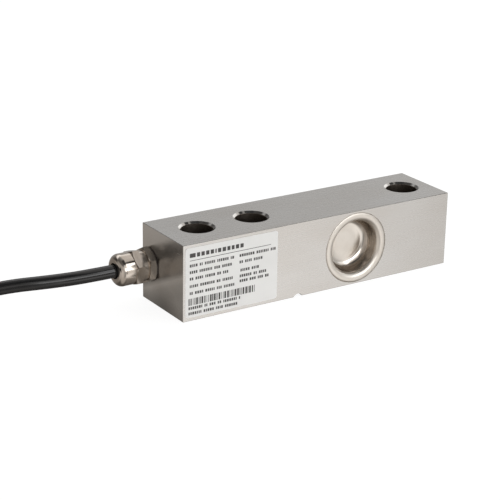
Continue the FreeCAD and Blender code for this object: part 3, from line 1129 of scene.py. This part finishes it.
cable = round_curve("signal_cable_line", cable_route + hank_points() + tail_route, cable_diameter, 6)
fit(cable, black_jacket, "cable_jacket", "signal_cable", "cable_hank", "cable_tail")
lead_colours = {
    "red": ((0.42, 0.012, 0.010), (0.55, 0.022, 0.016)),
    "black": ((0.012, 0.012, 0.012), (0.03, 0.03, 0.03)),
    "green": ((0.008, 0.14, 0.035), (0.015, 0.21, 0.06)),
    "white": ((0.70, 0.69, 0.66), (0.80, 0.79, 0.76)),
    "shield": ((0.60, 0.42, 0.03), (0.72, 0.53, 0.06)),
}
lead_rough = (0.3, 0.42)
for index, (colour, fan) in enumerate(lead_fans.items()):
    lead = round_curve("flying_" + colour, lead_points(index, fan)[0], lead_diameter, 12)
    finish = jacket("lead_" + colour, *lead_colours[colour], *lead_rough)
    slot = "shield_sleeve" if colour == "shield" else "core_" + colour
    fit(lead, finish, slot, "lead_" + colour)
tin = tinned_copper("tinned_strands", (0.55, 0.54, 0.52), (0.74, 0.73, 0.71))
fit(lead_tips(), tin, "tinned_copper", "lead_tips")
shrink = moulded("shrink_sleeve", (0.014, 0.014, 0.015), (0.026, 0.026, 0.027), 1500, (0.4, 0.5))
fit(end_sleeve(), shrink, "shrink_sleeve", "cable_end_sleeve")
strap_finish = woven_strap()
for place in ("left", "right"):
    band = strap("strap_" + place, "hank_tie_" + place)
    fit(band, strap_finish, "tie_strap", "hank_tie_" + place)


def dress(node, material):
    """Gives a node that keeps its own shape its finish."""
    nodes[node].data.materials[0] = material


# Finishes of the pieces that stay as they are
for colour in ("red", "black", "green", "white"):
    dress("core_" + colour, jacket("core_" + colour, *lead_colours[colour], *lead_rough))
foil = moulded("gauge_foil", (0.45, 0.22, 0.05), (0.62, 0.36, 0.10), 3000, (0.3, 0.4))
copper = tinned_copper("enamelled_copper", (0.42, 0.16, 0.06), (0.60, 0.28, 0.12))
for place in ("front", "rear"):
    dress("strain_gauge_" + place, foil)
    dress("bridge_wires_" + place, copper)
dress("terminal_board", moulded("board", (0.02, 0.12, 0.045), (0.03, 0.17, 0.07)))
dress("compensation_resistors", moulded("resistor", (0.015, 0.015, 0.017), (0.04, 0.04, 0.045)))
dress("gland_seal", rubber)
dress("gland_claw", moulded("claw_plastic", (0.010, 0.010, 0.011), (0.02, 0.02, 0.021)))

# Stage: pale floor, soft light and the camera


def floor():
    """Pale floor, evenly lit, which the polished faces see as the soft room itself."""
    bpy.ops.mesh.primitive_plane_add(size=8)
    ground = bpy.context.object
    ground.name = "floor"
    material, tree, shader = new_finish("pale_floor", (0.2, 0.2, 0.2), 0.0, 0.9)
    shader.inputs["Specular IOR Level"].default_value = 0.0
    shader.inputs["Emission Color"].default_value = (1, 1, 1, 1)
    shader.inputs["Emission Strength"].default_value = 0.9
    ground.data.materials.append(material)
    ground.visible_glossy = False


# The directions that the light is told by
light_ways = {
    "upward": (0, 0, 1),
    "sideways": (0.98, 0.2, 0),
    "across": (0.992, 0.125, 0),
    "behind": (0, 1, 0),
    "ahead": (0.125, -0.992, 0),
}

# Light along a direction: how far along it from -1 to 1, how strong and how warm
brightest = 2.8
right_side = [(0.637, 0.48, 0.02), (0.75, 0.57, 0.02), (0.82, 0.66, 0.02)]
low_room = [(-0.95, 0.65, 0.1), (-0.70, 0.60, 0.1), (-0.35, 0.25, 0.2), *right_side, (0.9, 0.9, 0.02)]
middle_room = [
    (-0.95, 0.50, 0.1),
    (-0.75, 0.40, 0.1),
    (-0.6, 0.07, 0.1),
    (-0.3, 0.14, 0.1),
    (0.2, 0.38, 0.04),
    *right_side,
    (0.89, 1.4, 0.02),
]
high_room = [(-0.5, 0.15, 0.1), (0.0, 0.40, 0), (0.3, 0.85, 0.08)]
back_strip = [(0.5, 0.85, 0.02), (1.0, brightest, 0)]
bright_screen = [(0.42, brightest, 0), (0.50, 1.25, 0.02)]
dim_screen = [(0.0, 1.05, 0.03)]
dark_gap = [(0.0, 0.04, 0)]
overhead = [(0.22, 0.06, 0), (0.36, 0.80, 0.08)]
beside_screen = [
    (-0.9, 0.50, 0.1),
    (-0.73, 0.60, 0.1),
    (-0.5, 0.80, 0.08),
    (-0.3, 0.50, 0.05),
    (0.7, 0.48, 0.02),
    (0.82, 0.66, 0.02),
    (0.89, 1.4, 0.02),
]
before_screen = [
    (-0.90, 0.80, 0.1),
    (-0.62, 0.60, 0.1),
    (-0.48, 0.24, 0.1),
    (-0.3, 0.55, 0.06),
    (-0.12, 1.15, 0.05),
    (0.34, 1.3, 0.06),
    (0.40, 1.22, 0.06),
    (0.43, 1.32, 0.06),
    (0.47, 1.04, 0.07),
    (0.51, 0.775, 0.07),
    (0.62, 0.58, 0.06),
    (1.0, 0.6, 0.06),
]
kerb = [(0.0, 0.28, 0.2)]
under_right = [(-1.0, 0.14, 0.2), (-0.75, 0.33, 0.15), (-0.6, 0.4, 0.15)]
under_left = [(-1.0, 0.42, 0.15), (-0.75, 0.58, 0.15), (-0.6, 0.62, 0.15)]
under_back = [(0.0, 0.11, 0.2)]

# Where one light gives way to another, along the same directions
front_edge = (-0.05, 0.15)
middle_foot = (0.0, 0.08)
high_foot = (0.50, 0.60)
strip_edge = (0.45, 0.65)
strip_top = (0.84, 0.80)
screen_foot = (0.08, 0.11)
screen_left = (-0.45, -0.36)
screen_right = (0.72, 0.66)
screen_top = (0.715, 0.735)
screen_corner = (0.42, 0.50)
corner_drop = 0.15
dim_right = (0.30, 0.22)
dim_foot = (0.38, 0.50)
overhead_foot = (0.825, 0.845)
kerb_left = (-0.20, -0.10)
kerb_right = (0.34, 0.28)
kerb_foot = (-0.30, -0.16)
under_top = (-0.50, -0.72)
under_edge = (0.54, 0.50)
under_left_edge = (0.0, -0.25)
under_back_edge = (0.0, 0.3)


def lights(value, steps):
    """Light by a value, through steps of place, strength and warmth."""
    tones = []
    for at, strength, warmth in steps:
        share = strength / brightest
        tones.append(((at + 1) / 2, (share, share * (1 - warmth / 2), share * (1 - warmth))))
    return many_tones(spread(value, -1, 1), tones)


def high_light(way):
    """The room's upper part, with a bright strip at the back."""
    high = lights(way.sideways, high_room)
    strip = lights(way.upward, back_strip)
    share = product(spread(way.behind, *strip_edge), spread(way.upward, *strip_top))
    return blend(share, high, strip)


def room_light(way, high):
    """The room behind and beside the part, in three heights."""
    low = lights(way.sideways, low_room)
    middle = lights(way.sideways, middle_room)
    room = blend(spread(way.upward, *middle_foot), low, middle)
    return blend(spread(way.upward, *high_foot), room, high)


def screen_light(way):
    """The bright screen in front, dimmer at its upper left; above it a dark gap and more light."""
    screen = lights(way.across, bright_screen)
    dim = lights(way.across, dim_screen)
    share = product(spread(way.across, *dim_right), spread(way.upward, *dim_foot))
    screen = blend(share, screen, dim)
    height = add(way.upward, spread(way.across, *screen_corner), corner_drop)
    gap = lights(way.across, dark_gap)
    screen = blend(spread(height, *screen_top), screen, gap)
    top = lights(way.across, overhead)
    return blend(spread(way.upward, *overhead_foot), screen, top)


def ground_light(way):
    """The pale ground before the screen, with a darker kerb along the screen's foot."""
    ground = lights(way.across, before_screen)
    share = product(spread(way.across, *kerb_right), spread(way.across, *kerb_left))
    share = product(share, spread(way.upward, *kerb_foot))
    return blend(share, ground, lights(way.across, kerb))


def front_light(way, high):
    """What stands in front of the part: the ground, and above it the screen between its sides."""
    sides = lights(way.across, beside_screen)
    sides = blend(spread(way.upward, *high_foot), sides, high)
    share = product(spread(way.across, *screen_right), spread(way.across, *screen_left))
    upright = blend(share, sides, screen_light(way))
    return blend(spread(way.upward, *screen_foot), ground_light(way), upright)


def under_light(way, light):
    """A light with the dim ground under the part laid over it."""
    under = lights(way.upward, under_right)
    left = lights(way.upward, under_left)
    under = blend(spread(way.across, *under_left_edge), under, left)
    back = lights(way.upward, under_back)
    under = blend(spread(way.behind, *under_back_edge), under, back)
    share = product(spread(way.upward, *under_top), spread(way.across, *under_edge))
    return blend(share, light, under)


def studio_light():
    """A soft room all round the part, painted by direction."""
    world = bpy.data.worlds.new("studio")
    bpy.context.scene.world = world
    world.use_nodes = True
    tree = world.node_tree
    background = tree.nodes["Background"]
    background.inputs["Strength"].default_value = brightest
    seen = tree.nodes.new("ShaderNodeTexCoord").outputs["Generated"]
    way = SimpleNamespace()
    for name, direction in light_ways.items():
        setattr(way, name, dot(seen, Vector(direction).normalized()))
    high = high_light(way)
    room = room_light(way, high)
    front = front_light(way, high)
    light = blend(spread(way.ahead, *front_edge), room, front)
    link(under_light(way, light), background.inputs["Color"])


def soft_lamp():
    """A wide, weak lamp above, which the polished faces don't see."""
    lamp = bpy.data.lights.new("overhead", "AREA")
    lamp.shape = "SQUARE"
    lamp.size = 1.6
    lamp.energy = 3.0
    fill = bpy.data.objects.new("overhead", lamp)
    fill.location = (0.3, -0.3, 1.4)
    fill.visible_glossy = False
    bpy.context.scene.collection.objects.link(fill)


def camera():
    """The photograph's view: place, turn and focal length worked out from the beam's corners."""
    eye = Vector((-0.32846, -0.52130, 0.24822))
    azimuth, elevation, roll = (math.radians(a) for a in (-33.186, 20.326, 1.043))
    focal_pixels = 1639.6
    image_pixels = 500
    sensor = 36.0
    back = Vector(
        (
            math.sin(azimuth) * math.cos(elevation),
            -math.cos(azimuth) * math.cos(elevation),
            math.sin(elevation),
        )
    )
    right = Vector((math.cos(azimuth), math.sin(azimuth), 0))
    up = back.cross(right)
    across = right * math.cos(roll) + up * math.sin(roll)
    upward = up * math.cos(roll) - right * math.sin(roll)
    data = bpy.data.cameras.new("photo_view")
    data.sensor_width = sensor
    data.lens = focal_pixels / image_pixels * sensor
    data.clip_start = 0.01
    data.clip_end = 20
    view = bpy.data.objects.new("photo_view", data)
    turn = Matrix((across, upward, back)).transposed().to_4x4()
    view.matrix_world = Matrix.Translation(eye) @ turn
    bpy.context.scene.collection.objects.link(view)
    bpy.context.scene.camera = view


floor()
studio_light()
soft_lamp()
camera()
bpy.context.scene.view_settings.view_transform = "Standard"
